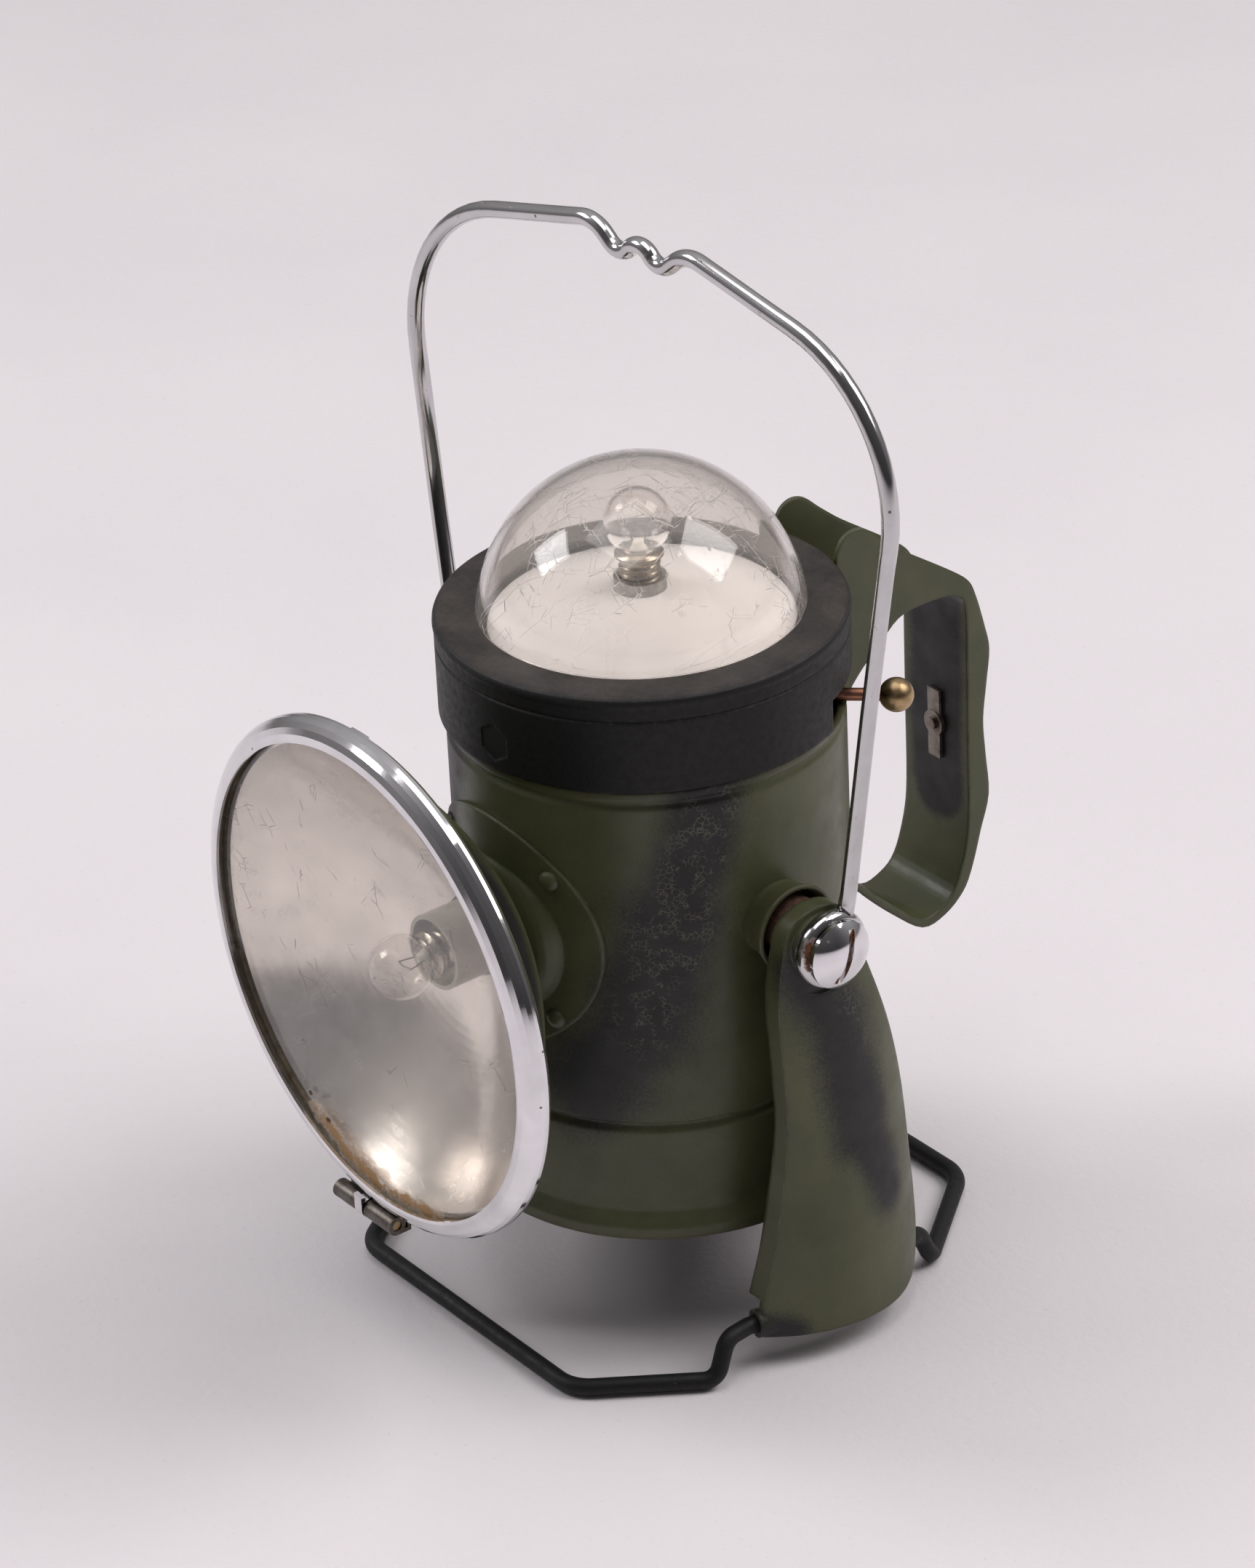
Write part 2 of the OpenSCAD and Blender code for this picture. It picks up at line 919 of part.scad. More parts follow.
// Closed wire ring: two bent halves butt-welded in the middle of the front and rear bars
module foot_wire() {
    bends = [9, 4, 4, 6, 4, 4, 4, 10];
    front = [0, foot_points[0][1], wire_r];
    rear = [0, foot_points[7][1], wire_r];
    weld = [3, 0, 0];
    color(black) {
        for (side = [0, 1])
            mirror([side, 0, 0])
                bent_wire(concat([front], foot_points, [rear]), bends, wire_r);
        rod(front - weld, front + weld, wire_r);
        rod(rear - weld, rear + weld, wire_r);
    }
}

module pivot_screw() {
    head_x = 66.8;
    slot_turn = -19;
    difference() {
        union() {
            at_pivot(38.6)
                cylinder(h = head_x - 38.6 + 0.5, r = shank_r);
            at_pivot(head_x)
                cylinder(h = 1, r = 8.05);
            at_pivot(head_x + 1)
                intersection() {
                    translate([0, 0, -9.2])
                        sphere(r = 12.22);
                    cylinder(h = 4, r = 8.05);
                }
        }
        translate([head_x + 2.2, 0, pivot_z])
            rotate([slot_turn, 0, 0])
                translate([0, -0.75, -10])
                    cube([5, 1.5, 20]);
    }
}

module pivot_screw_right() {
    color(chrome)
        pivot_screw();
}

module pivot_screw_left() {
    color(chrome)
        other_side()
            pivot_screw();
}

module pivot_washer() {
    difference() {
        at_pivot(46.4)
            cylinder(h = 10.3, r = 7.3);
        at_pivot(40)
            cylinder(h = 20, r = shank_r + 0.02);
    }
}

module pivot_washer_right() {
    color(brown)
        pivot_washer();
}

module pivot_washer_left() {
    color(brown)
        other_side()
            pivot_washer();
}

module pivot_nut() {
    at_pivot(39.4)
        difference() {
            cylinder(h = 3.6, r = 7.2, $fn = 6);
            translate([0, 0, -1])
                cylinder(h = 6, r = shank_r + 0.02);
        }
}

module pivot_nut_right() {
    color(steel)
        pivot_nut();
}

module pivot_nut_left() {
    color(steel)
        other_side()
            pivot_nut();
}

bail_r = 2;
eye_x = 64.1;

// Half of the bail, from the middle hump down to the foot of one leg
half_bail = [[4.2, 48], [5, 40], [0, 2], [9, -53], [0, 29.4], [37.6, -85.5], [0, 5]];
hump_bend = 4.5;
hump_turn = 48;

module bail_leg() {
    flat_w = 4.4;
    flat_t = 1.8;
    leg_top = [77.3, 0, 96];
    leg_foot = [63.9, 0, 12];
    tilt = atan2(leg_top[0] - leg_foot[0], leg_top[2] - leg_foot[2]);
    translate(leg_foot)
        rotate([0, tilt, 0])
            translate([-flat_t / 2, -flat_w / 2, -1])
                cube([flat_t, flat_w, norm(leg_top - leg_foot) + 2]);
}

// Loop at the foot of each leg, running on the pivot screw
module bail_eye() {
    rotate_extrude()
        polygon([
            [shank_r + fit_gap, -2.3], [7.6, -2.3], [8.8, -1.8], [9.4, -0.8],
            [9.4, 0.8], [8.8, 1.8], [7.6, 2.3], [shank_r + fit_gap, 2.3]
        ]);
}

module bail() {
    color(chrome)
        translate([0, 0, pivot_z]) {
            rotate([-bail_lean, 0, 0])
                rotate([0, 0, bail_twist]) {
                    translate([0.7, 0, 147.5])
                        rotate([90, 0, 0]) {
                            translate([0, -hump_bend, 0])
                                rotate([0, 0, 90 - hump_turn])
                                    rotate_extrude(angle = 2 * hump_turn)
                                        translate([hump_bend, 0])
                                            circle(r = bail_r, $fn = 32);
                            for (side = [0, 1])
                                mirror([side, 0, 0])
                                    translate([0, -hump_bend, 0])
                                        rotate([0, 0, -hump_turn])
                                            translate([0, hump_bend, 0])
                                                run_wire(half_bail, 0, bail_r);
                        }
                    for (side = [0, 1])
                        mirror([side, 0, 0])
                            bail_leg();
                }
            for (side = [-1, 1]) {
                translate([side * eye_x, 0, 0])
                    rotate([0, 90, 0])
                        bail_eye();
                rod([side * 64.7, side * 5.8 + 0.3, 13.4], [side * 64.1, side * 4.6, 7.2], 2.1);
            }
        }
}

body_shell();
base_plate();
pivot_cup_right();
pivot_cup_left();
chassis_plate();
centre_post();
dome_reflector();
dome_socket();
dome_bulb_base();
dome_bulb();
headlight_flange();
flange_rivets();
headlight_shell();
reflector();
bulb_holder();
headlight_bulb_base();
headlight_bulb();
lens_gasket();
hinge_tube();
hinge_pin();
strap_handle();
handle_rivets();
handle_clip();
battery_front();
battery_rear();
battery_tray();
contact_strip();
headlight_wire();
dome_wire();
bezel();
lens();
bezel_knuckles();
bezel_catch();
cap();
dome();
dome_gasket();
dome_retainer();
switch_hub();
switch_rod();
switch_ball();
arm_right();
arm_left();
foot_wire();
pivot_screw_right();
pivot_screw_left();
pivot_washer_right();
pivot_washer_left();
pivot_nut_right();
pivot_nut_left();
bail();
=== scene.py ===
import json
import math

import bpy
from mathutils import Matrix, Vector

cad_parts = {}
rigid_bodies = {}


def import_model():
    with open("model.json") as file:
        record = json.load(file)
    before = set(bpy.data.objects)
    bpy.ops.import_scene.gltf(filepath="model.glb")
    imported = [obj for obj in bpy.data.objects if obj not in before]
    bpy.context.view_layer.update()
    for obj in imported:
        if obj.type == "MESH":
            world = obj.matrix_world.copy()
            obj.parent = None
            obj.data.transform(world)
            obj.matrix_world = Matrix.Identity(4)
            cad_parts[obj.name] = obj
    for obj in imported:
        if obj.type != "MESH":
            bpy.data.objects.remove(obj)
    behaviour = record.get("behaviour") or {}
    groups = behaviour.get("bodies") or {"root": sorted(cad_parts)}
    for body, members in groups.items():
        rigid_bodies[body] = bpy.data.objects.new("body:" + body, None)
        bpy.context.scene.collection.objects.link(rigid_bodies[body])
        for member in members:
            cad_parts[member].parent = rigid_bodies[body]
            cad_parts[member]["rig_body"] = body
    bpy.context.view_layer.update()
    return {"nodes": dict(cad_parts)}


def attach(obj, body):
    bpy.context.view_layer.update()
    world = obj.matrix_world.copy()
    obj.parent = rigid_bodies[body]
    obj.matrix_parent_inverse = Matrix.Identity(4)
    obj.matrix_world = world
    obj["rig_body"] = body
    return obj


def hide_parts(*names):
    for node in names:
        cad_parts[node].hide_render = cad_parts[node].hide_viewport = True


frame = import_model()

NODES = frame["nodes"]
MM = 0.001


# ---------------------------------------------------------------- camera

def make_camera():
    """Looks down at the lantern from its front right, from a little over a metre away."""
    azimuth = math.radians(53.665)
    elevation = math.radians(28.814)
    roll = math.radians(-2.783)
    back = Vector((
        math.sin(azimuth) * math.cos(elevation),
        -math.cos(azimuth) * math.cos(elevation),
        math.sin(elevation),
    ))
    level_right = Vector((math.cos(azimuth), math.sin(azimuth), 0))
    level_up = back.cross(level_right)
    right = level_right * math.cos(roll) + level_up * math.sin(roll)
    up = level_up * math.cos(roll) - level_right * math.sin(roll)
    data = bpy.data.cameras.new("camera")
    data.sensor_fit = "HORIZONTAL"
    data.sensor_width = 36
    data.lens = 167.24
    data.clip_start = 0.05
    data.clip_end = 50
    camera = bpy.data.objects.new("camera", data)
    turn = Matrix((right, up, back)).transposed().to_4x4()
    place = (0.932608, -0.692205, 0.759679)
    camera.matrix_world = Matrix.Translation(place) @ turn
    bpy.context.scene.collection.objects.link(camera)
    bpy.context.scene.camera = camera


# ---------------------------------------------------------------- shader helper

class Shader:
    """A new material, with short calls that add nodes and give back their output sockets."""

    def __init__(self, name, **values):
        self.material = bpy.data.materials.new(name)
        self.material.use_nodes = True
        self.tree = self.material.node_tree
        self.tree.nodes.clear()
        self.surface = self.tree.nodes.new("ShaderNodeBsdfPrincipled")
        self.output = self.tree.nodes.new("ShaderNodeOutputMaterial")
        self.tree.links.new(self.surface.outputs[0], self.output.inputs[0])
        self.coords = self.add("ShaderNodeTexCoord")
        self.here = self.coords.outputs["Object"]
        self.set(**values)

    def set(self, **values):
        """Values for the main shader: base_color=..., roughness=..., normal=... and so on."""
        for key, value in values.items():
            self.feed(self.surface.inputs[key.replace("_", " ").title().replace("Ior", "IOR")], value)

    def feed(self, socket, value):
        if isinstance(value, bpy.types.NodeSocket):
            self.tree.links.new(value, socket)
        elif isinstance(value, (tuple, list)) and len(value) == 3 and socket.type == "RGBA":
            socket.default_value = (*value, 1)
        else:
            socket.default_value = value

    def add(self, kind, **settings):
        node = self.tree.nodes.new(kind)
        for key, value in settings.items():
            setattr(node, key, value)
        return node

    def math(self, operation, a, b=0.0, clamp=False):
        node = self.add("ShaderNodeMath", operation=operation, use_clamp=clamp)
        self.feed(node.inputs[0], a)
        self.feed(node.inputs[1], b)
        return node.outputs[0]

    def vector(self, operation, a, b=(0, 0, 0), scale=None):
        node = self.add("ShaderNodeVectorMath", operation=operation)
        self.feed(node.inputs[0], a)
        if scale is None:
            self.feed(node.inputs[1], b)
        else:
            self.feed(node.inputs["Scale"], scale)
        plain = operation in ("DOT_PRODUCT", "LENGTH", "DISTANCE")
        return node.outputs["Value" if plain else "Vector"]

    def noise(self, scale, detail=4.0, roughness=0.55, where=None, distortion=0.0):
        node = self.add("ShaderNodeTexNoise")
        self.feed(node.inputs["Vector"], where or self.here)
        self.feed(node.inputs["Scale"], scale)
        self.feed(node.inputs["Detail"], detail)
        self.feed(node.inputs["Roughness"], roughness)
        self.feed(node.inputs["Distortion"], distortion)
        return node.outputs[0]

    def add_noise_vector(self, scale):
        """A noise colour centred on zero, as a direction to push points in."""
        node = self.add("ShaderNodeTexNoise")
        self.feed(node.inputs["Vector"], self.here)
        self.feed(node.inputs["Scale"], scale)
        node.inputs["Detail"].default_value = 2
        return self.vector("SUBTRACT", node.outputs["Color"], (0.5, 0.5, 0.5))

    def rounded(self, radius):
        """The normal as if every crease were rounded to this radius."""
        node = self.add("ShaderNodeBevel", samples=6)
        node.inputs[0].default_value = radius
        return node.outputs[0]

    def cells(self, scale, feature="F1", where=None, output="Distance", randomness=1.0):
        node = self.add("ShaderNodeTexVoronoi", feature=feature)
        self.feed(node.inputs["Vector"], where or self.here)
        self.feed(node.inputs["Scale"], scale)
        self.feed(node.inputs["Randomness"], randomness)
        return node.outputs[output]

    def spread(self, value, low, high, to_low=0.0, to_high=1.0, smooth=False):
        """value from low..high stretched to to_low..to_high and held at the ends."""
        node = self.add("ShaderNodeMapRange", interpolation_type="SMOOTHSTEP" if smooth else "LINEAR")
        for socket, given in zip(node.inputs, (value, low, high, to_low, to_high)):
            self.feed(socket, given)
        return node.outputs[0]

    def mix(self, share, a, b, blend="MIX"):
        node = self.add("ShaderNodeMix", data_type="RGBA", blend_type=blend)
        self.feed(node.inputs[0], share)
        self.feed(node.inputs[6], a)
        self.feed(node.inputs[7], b)
        return node.outputs[2]

    def split(self, vector):
        node = self.add("ShaderNodeSeparateXYZ")
        self.feed(node.inputs[0], vector)
        return node.outputs

    def stretched(self, factors, where=None):
        return self.vector("MULTIPLY", where or self.here, factors)

    def bump(self, height, strength=1.0, distance=0.0002, normal=None):
        node = self.add("ShaderNodeBump")
        self.feed(node.inputs["Strength"], strength)
        self.feed(node.inputs["Distance"], distance)
        self.feed(node.inputs["Height"], height)
        if normal is not None:
            self.feed(node.inputs["Normal"], normal)
        return node.outputs[0]

    def capsule(self, a, b, radius, soft, where=None):
        """1 within radius of the line from a to b (both in mm), falling to 0 over soft."""
        a = Vector(a) * MM
        b = Vector(b) * MM
        along = b - a
        if along.length == 0:
            along = Vector((0, 0, 1e-6))
        off = self.vector("SUBTRACT", where or self.here, tuple(a))
        share = self.math(
            "DIVIDE", self.vector("DOT_PRODUCT", off, tuple(along)), along.length_squared, clamp=True)
        node = self.add("ShaderNodeVectorMath", operation="SCALE")
        node.inputs[0].default_value = tuple(along)
        self.feed(node.inputs["Scale"], share)
        away = self.vector("LENGTH", self.vector("SUBTRACT", off, node.outputs[0]))
        return self.spread(away, (radius + soft) * MM, max(radius - soft, 0) * MM, smooth=True)

    def most(self, values):
        total = values[0]
        for value in values[1:]:
            total = self.math("MAXIMUM", total, value)
        return total

    def edge_wear(self, radius, low=0.02, high=0.16):
        """1 on sharp edges, from how far a rounded normal leans from the true one."""
        rounded = self.add("ShaderNodeBevel", samples=6)
        rounded.inputs[0].default_value = radius
        geometry = self.add("ShaderNodeNewGeometry")
        same = self.vector("DOT_PRODUCT", rounded.outputs[0], geometry.outputs["Normal"])
        return self.spread(self.math("SUBTRACT", 1.0, same), low, high)


def wear(shader, *nodes):
    """Gives these CAD nodes' objects one material."""
    for node in nodes:
        if len(NODES[node].material_slots) == 0:
            NODES[node].data.materials.append(shader.material)
        for slot in NODES[node].material_slots:
            slot.material = shader.material


# ---------------------------------------------------------------- materials

OLIVE_PALE = (0.190, 0.200, 0.105)
SPRAY = (0.0085, 0.0085, 0.0095)
CRACKLE_SCALE = 760


def sprayed_paint(name, bands, crackle=(), chips=1.0):
    """Olive enamel with soft-edged black overspray along bands of capsules."""
    s = Shader(name)
    warp = s.noise(55, 3)
    fine = s.noise(1500, 2, 0.6)
    grain = s.noise(4200, 1, 0.5)
    mask = s.most([s.capsule(*band) for band in bands])
    shifted = s.math("ADD", mask, s.spread(warp, 0.3, 0.7, -0.14, 0.14))
    speckled = s.math("ADD", shifted, s.spread(fine, 0.25, 0.75, -0.13, 0.13))
    black = s.spread(speckled, 0.10, 0.90, smooth=True)
    tone = s.mix(s.spread(s.noise(38, 4), 0.3, 0.7), (0.056, 0.062, 0.027), (0.094, 0.099, 0.047))
    tone = s.mix(s.spread(grain, 0.62, 0.78, 0, 0.28), tone, OLIVE_PALE)
    tone = s.mix(s.spread(s.noise(1900, 2), 0.60, 0.72, 0, 0.35), tone, (0.040, 0.042, 0.030))
    black_tone = s.mix(s.spread(grain, 0.60, 0.75, 0, 0.5), SPRAY, (0.038, 0.036, 0.032))
    colour = s.mix(black, tone, black_tone)
    height = s.math("MULTIPLY", s.noise(2600, 2), 0.35)
    if crackle:
        bent = s.vector("ADD", s.here, s.vector(
            "SCALE", s.add_noise_vector(700), scale=0.0011))
        lines = s.spread(s.cells(CRACKLE_SCALE, "DISTANCE_TO_EDGE", bent), 0.045, 0.085, 1, 0)
        patch = s.most([s.capsule(*c) for c in crackle])
        broken = s.spread(s.noise(300, 2), 0.47, 0.56)
        share = s.math("MULTIPLY", s.math("MULTIPLY", lines, patch), broken)
        share = s.math("MULTIPLY", share, s.spread(black, 0.5, 0.8))
        colour = s.mix(s.math("MULTIPLY", share, 0.55), colour, (0.15, 0.145, 0.10))
        height = s.math("SUBTRACT", height, s.math("MULTIPLY", share, 0.8))
    spots = s.cells(75, "F1")
    chosen = s.split(s.cells(75, "F1", output="Color"))[0]
    size = s.spread(chosen, 0.90, 1.0, 0.0, 0.045)
    chip = s.math("MULTIPLY", s.math("LESS_THAN", spots, size), chips)
    colour = s.mix(chip, colour, (0.42, 0.41, 0.36))
    worn = s.math("MULTIPLY", s.edge_wear(0.0005), s.spread(s.noise(220, 3), 0.42, 0.62))
    colour = s.mix(s.math("MULTIPLY", worn, 0.7), colour, (0.26, 0.25, 0.19))
    roughness = s.spread(s.noise(160, 3), 0.3, 0.7, 0.30, 0.46)
    roughness = s.math("ADD", roughness, s.math("MULTIPLY", black, 0.10))
    s.set(base_color=colour, roughness=roughness, specular_ior_level=0.42,
          normal=s.bump(height, 0.4, 0.00010, s.rounded(0.0012)))
    return s


def black_paint(name, dust=True, rust=()):
    """Matt black paint with fine grain, brown dust where it faces up and rust along capsules."""
    s = Shader(name)
    grain = s.noise(2400, 3, 0.65)
    colour = s.mix(s.spread(grain, 0.4, 0.75), (0.0050, 0.0050, 0.0055), (0.012, 0.0115, 0.012))
    if dust:
        up = s.split(s.coords.outputs["Normal"])[2]
        settled = s.spread(up, 0.55, 0.97)
        patchy = s.math("MULTIPLY", settled, s.spread(s.noise(85, 4, 0.6), 0.35, 0.66, 0.25, 1.0))
        film = s.mix(s.spread(s.noise(3200, 2), 0.4, 0.7), (0.050, 0.040, 0.034), (0.105, 0.088, 0.076))
        colour = s.mix(s.math("MULTIPLY", patchy, 0.62), colour, film)
    specks = s.cells(260, "F1")
    chosen = s.split(s.cells(260, "F1", output="Color"))[0]
    speck = s.math("LESS_THAN", specks, s.spread(chosen, 0.93, 1.0, 0.0, 0.09))
    colour = s.mix(s.math("MULTIPLY", speck, 0.8), colour, (0.22, 0.20, 0.18))
    worn = s.math("MULTIPLY", s.edge_wear(0.0006, 0.01, 0.14), s.spread(s.noise(700, 3), 0.52, 0.66))
    colour = s.mix(s.math("MULTIPLY", worn, 0.35), colour, (0.17, 0.165, 0.16))
    if rust:
        near = s.most([s.capsule(*r) for r in rust])
        ragged = s.spread(s.noise(420, 4, 0.7), 0.3, 0.7, -0.5, 0.4)
        patch = s.spread(s.math("ADD", near, ragged), 0.45, 0.75)
        colour = s.mix(patch, colour, s.mix(s.noise(1300, 3), (0.10, 0.040, 0.016), (0.36, 0.17, 0.07)))
    s.set(base_color=colour, roughness=s.spread(s.noise(600, 2), 0.3, 0.7, 0.48, 0.62),
          specular_ior_level=0.34, normal=s.bump(grain, 0.45, 0.00010, s.rounded(0.0009)))
    return s


def plated(name, rust=(), base=(0.80, 0.79, 0.81), rough=(0.045, 0.13), pits=1.0):
    """Chromium plate with a thin haze, pits and, along some capsules, rust."""
    s = Shader(name, metallic=1.0)
    haze = s.noise(90, 4, 0.6)
    colour = s.mix(s.spread(haze, 0.35, 0.7), base, tuple(c * 0.86 for c in base))
    spots = s.cells(420, "F1")
    chosen = s.split(s.cells(420, "F1", output="Color"))[0]
    pit = s.math("MULTIPLY", s.math("LESS_THAN", spots, s.spread(chosen, 0.86, 1.0, 0.0, 0.20)), pits)
    colour = s.mix(s.math("MULTIPLY", pit, 0.8), colour, (0.12, 0.085, 0.06))
    roughness = s.math("ADD", s.spread(haze, 0.3, 0.7, *rough), s.math("MULTIPLY", pit, 0.35))
    metal = s.math("SUBTRACT", 1.0, s.math("MULTIPLY", pit, 0.6))
    height = s.math("SUBTRACT", s.math("MULTIPLY", s.noise(1400, 2), 0.08), pit)
    if rust:
        near = s.most([s.capsule(*r) for r in rust])
        ragged = s.spread(s.noise(330, 4, 0.7), 0.3, 0.7, -0.45, 0.45)
        patch = s.spread(s.math("ADD", near, ragged), 0.35, 0.75)
        brown = s.mix(s.spread(s.noise(900, 3), 0.35, 0.65), (0.075, 0.028, 0.012), (0.20, 0.085, 0.035))
        colour = s.mix(patch, colour, brown)
        roughness = s.math("MAXIMUM", roughness, s.math("MULTIPLY", patch, 0.85))
        metal = s.math("MULTIPLY", metal, s.math("SUBTRACT", 1.0, patch))
        height = s.math("ADD", height, s.math("MULTIPLY", patch, s.noise(1200, 3)))
    s.set(base_color=colour, metallic=metal, roughness=roughness, normal=s.bump(height, 0.35, 0.00006))
    return s


def plain_metal(name, base, rough=(0.25, 0.42), dirt=(0.10, 0.075, 0.05), dirt_share=0.5):
    """Bare metal with a dull film and darker dirt in patches."""
    s = Shader(name, metallic=1.0)
    film = s.spread(s.noise(260, 4, 0.6), 0.42, 0.68)
    colour = s.mix(s.math("MULTIPLY", film, dirt_share), base, dirt)
    s.set(base_color=colour, roughness=s.spread(s.noise(500, 3), 0.3, 0.7, *rough),
          normal=s.bump(s.noise(1500, 3), 0.4, 0.00005))
    return s


def dull(name, dark, light, rough=0.6, grain=900, level=0.4):
    """Fibre, rubber, card or enamel: two tones of one colour with a fine grain."""
    s = Shader(name, specular_ior_level=level)
    colour = s.mix(s.spread(s.noise(grain, 4, 0.6), 0.35, 0.68), dark, light)
    roughness = s.spread(s.noise(grain / 3, 3), 0.3, 0.7, rough - 0.06, rough + 0.08)
    s.set(base_color=colour, roughness=roughness,
          normal=s.bump(s.noise(grain * 2, 3), 0.35, 0.00008))
    return s


def lit_through(s, tint):
    """Lets lamps shine through a glass shader, so that what stands behind it isn't in the dark."""
    clear = s.add("ShaderNodeBsdfTransparent")
    s.feed(clear.inputs[0], tint)
    ray = s.add("ShaderNodeLightPath")
    mixed = s.add("ShaderNodeMixShader")
    s.tree.links.new(ray.outputs["Is Shadow Ray"], mixed.inputs[0])
    s.tree.links.new(s.surface.outputs[0], mixed.inputs[1])
    s.tree.links.new(clear.outputs[0], mixed.inputs[2])
    s.tree.links.new(mixed.outputs[0], s.output.inputs[0])


def scratch_set(s, scale, angle, width, share):
    """Short straight scratches in one direction."""
    turned = s.add("ShaderNodeVectorRotate", rotation_type="EULER_XYZ")
    s.feed(turned.inputs["Vector"], s.here)
    turned.inputs["Rotation"].default_value = angle
    pulled = s.stretched((0.10, 1.0, 1.0), turned.outputs[0])
    line = s.cells(scale, "DISTANCE_TO_EDGE", pulled)
    thin = s.spread(line, 0.0, width, 1, 0)
    return s.math("MULTIPLY", thin, s.spread(s.noise(120, 2, where=pulled), share, share + 0.06))


def scratched_clear(name, tint, marks, rough=0.02, ior=1.49, stains=(), spots=(), milk=0.0):
    """Clear moulded plastic or glass with scratches, a light haze, stains and brown spots."""
    s = Shader(name, transmission_weight=1.0, ior=ior)
    scratches = s.most([scratch_set(s, *mark) for mark in marks])
    haze = s.spread(s.noise(60, 4), 0.4, 0.75, rough, rough + 0.05)
    colour = s.mix(s.math("MULTIPLY", scratches, 0.5), tint, (0.55, 0.52, 0.46))
    roughness = s.math("ADD", haze, s.math("MULTIPLY", scratches, 0.45))
    through = s.spread(s.noise(34, 4, 0.6), 0.3, 0.75, 1.0 - milk * 0.6, 1.0 - milk)
    if milk:
        colour = s.mix(0.35, colour, (0.72, 0.66, 0.61))
    if stains:
        near = s.most([s.capsule(*c) for c in stains])
        ragged = s.spread(s.noise(260, 4, 0.7), 0.3, 0.7, -0.4, 0.4)
        patch = s.spread(s.math("ADD", near, ragged), 0.3, 0.9)
        colour = s.mix(patch, colour, (0.44, 0.25, 0.10))
        roughness = s.math("ADD", roughness, s.math("MULTIPLY", patch, 0.5))
        through = s.math("MULTIPLY", through, s.math("SUBTRACT", 1.0, s.math("MULTIPLY", patch, 0.72)))
    if spots:
        spot = s.most([s.capsule(*c) for c in spots])
        colour = s.mix(spot, colour, (0.075, 0.035, 0.018))
        roughness = s.math("ADD", roughness, s.math("MULTIPLY", spot, 0.5))
        through = s.math("MULTIPLY", through, s.math("SUBTRACT", 1.0, spot))
    s.set(base_color=colour, roughness=roughness, transmission_weight=through,
          normal=s.bump(scratches, 0.5, 0.00008))
    lit_through(s, tuple(c * 0.97 for c in tint))
    return s


# Overspray, crackle, rust and stains are capsules in mm: start, end, radius, softness
BODY_BANDS = [
    ((42.8, -14.7, 146), (38.8, -23.4, 110), 9.0, 8.5),
    ((38.8, -23.4, 110), (32.8, -31.2, 82), 12.0, 11.0),
    ((32.8, -31.2, 82), (24.0, -38.5, 66), 12.0, 12.0),
    ((-20, -40, 140), (-36, -27, 70), 12, 8),
    ((-30, 36, 140), (-44, 8, 60), 12, 8),
    ((12, 46, 70), (-14, 46, 32), 12, 8),
]
BODY_CRACKLE = [
    ((43.2, -13.5, 134), (37.5, -25, 104), 10, 5),
    ((36, -28, 92), (34, -30, 84), 7, 5),
]
CUP_BANDS = [((60, -30, 130), (60, -20, 130), 3, 2)]
SHELL_BANDS = [
    ((30, -62, 150), (60, -74, 100), 10, 12),
    ((-50, -66, 110), (-20, -66, 60), 12, 9),
]
ARM_BANDS = [
    ((62.0, -4, 100), (63.0, 2, 84), 7.5, 8.0),
    ((63.0, 2, 84), (64.5, 8, 56), 7.0, 9.5),
    ((64.5, 8, 56), (65.5, 16, 36), 3.5, 9.0),
    ((58, -20, 9), (62, -14, 8), 5.0, 5),
    ((-62.5, -8, 92), (-64, 12, 60), 9, 8),
    ((-67, -12, 8), (-67, 10, 8), 4.5, 5),
]
ARM_CRACKLE = [((63, 10, 90), (63.5, 15, 80), 6, 4)]
STRAP_BANDS = [
    ((0, 80, 150), (0, 78, 96), 8.5, 3.5),
    ((0, 88, 150), (0, 88, 90), 9.5, 3),
]
WIRE_RUST = [
    ((44, -59.4, 3.5), (58, -40, 3.5), 0.6, 1.8),
    ((57.5, -30, 5), (57.2, -27, 11), 0.4, 1.4),
]
SLOT_RUST = [((69.5, -3.2, 98), (69.5, 3.2, 112.6), 0.7, 0.5)]
BAIL_RUST = [
    ((62, -7, 108), (62, 7, 110), 2.0, 2.0),
    ((66.5, -7.5, 104), (66.5, -7.8, 112), 1.2, 1.5),
    ((-62, -7, 108), (-62, 7, 110), 2.0, 2.0),
    ((-28, -2, 246), (-12, -1, 248.5), 0.6, 1.9),
    ((22, 2, 246.5), (36, 3, 241), 0.6, 1.9),
    ((2, 0, 254), (6, 1, 252), 0.4, 1.8),
    ((70.5, 7, 218), (73, 7, 212), 0.3, 1.6),
]
LENS_STAINS = [
    ((-27, -79, 54), (-16, -79, 47.5), 2.2, 2.4),
    ((-16, -79, 47.5), (-4, -79, 44.5), 2.8, 2.8),
    ((-4, -79, 44.5), (20, -79, 47), 1.6, 2.2),
]
LENS_SPOTS = [
    ((-29.1, -79, 57.1), (-28.6, -79, 57.4), 0.9, 0.4),
    ((-22.7, -79, 52.9), (-22.0, -79, 53.1), 0.7, 0.4),
]
# Scratches: scale, turn, width and how few there are
DOME_SCRATCHES = [
    (260, (0.3, 0.8, 0.2), 0.012, 0.55),
    (230, (1.1, 0.2, 1.9), 0.012, 0.57),
    (300, (2.0, 1.4, 0.7), 0.010, 0.56),
]
LENS_SCRATCHES = [(200, (0.0, 0.0, 0.9), 0.008, 0.60)]


